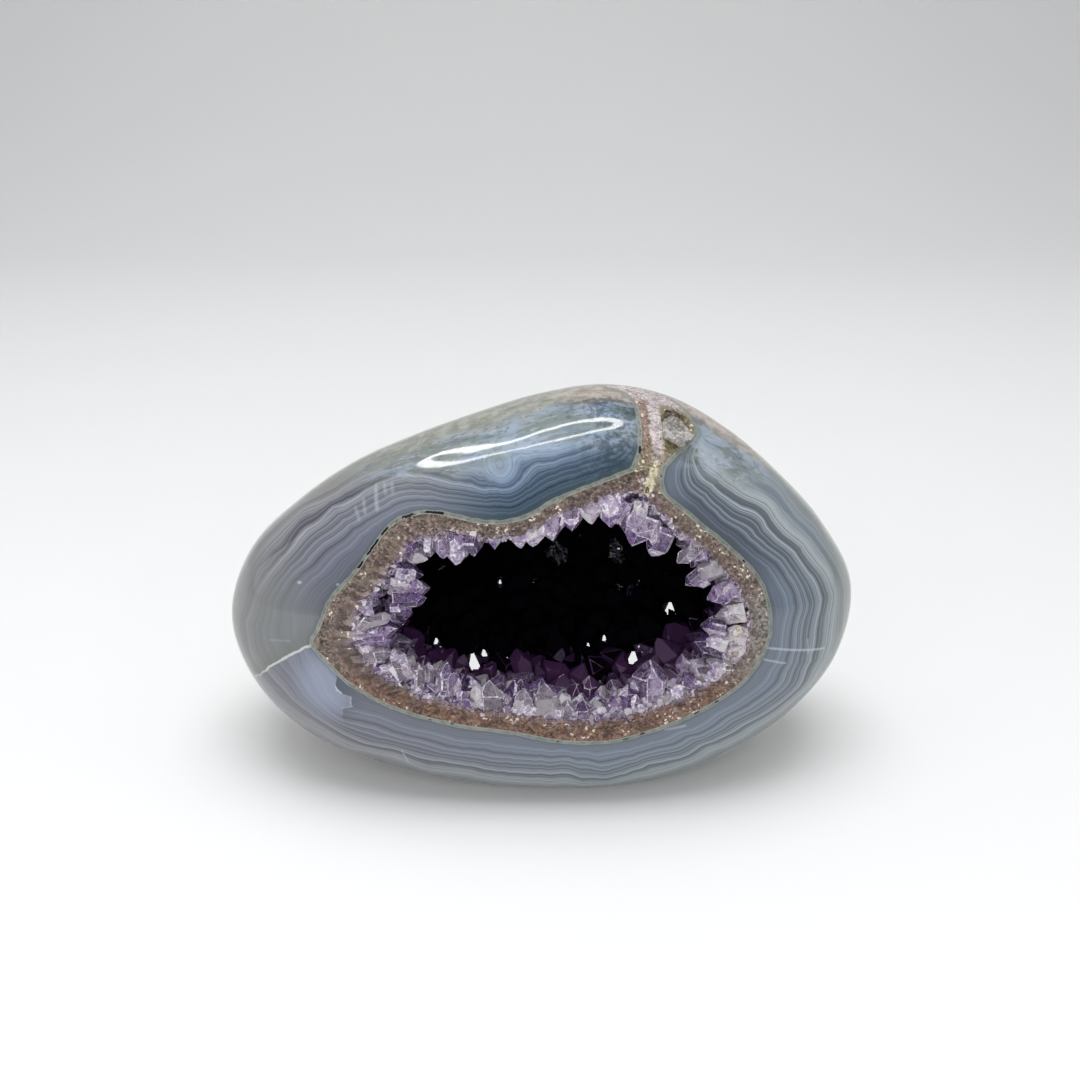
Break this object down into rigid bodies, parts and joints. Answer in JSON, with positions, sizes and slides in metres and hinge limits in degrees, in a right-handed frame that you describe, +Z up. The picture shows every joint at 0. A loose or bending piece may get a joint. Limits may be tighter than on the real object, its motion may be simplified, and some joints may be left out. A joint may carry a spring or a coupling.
{
  "type": "geode half",
  "caption": "Polished banded agate egg with an open face, its hollow lined with amethyst crystals; stands on a small sawn flat.",
  "frame": {"origin": "centre of the box's underside: the middle of the length and the depth, on the surface that the stone stands on", "axes": "+Z up, +X along the length, to the right as seen from the open face, +Y from the open face into the hollow"},
  "size_m": [0.1281, 0.0594, 0.0751],
  "materials": {
    "agate": "polished banded agate, blue-grey",
    "amethyst": "clear to violet quartz crystals on tan granular quartz"
  },
  "bodies": {
    "root": {"agate_shell": "agate", "amethyst_crust": "amethyst"}
  },
  "joints": []
}
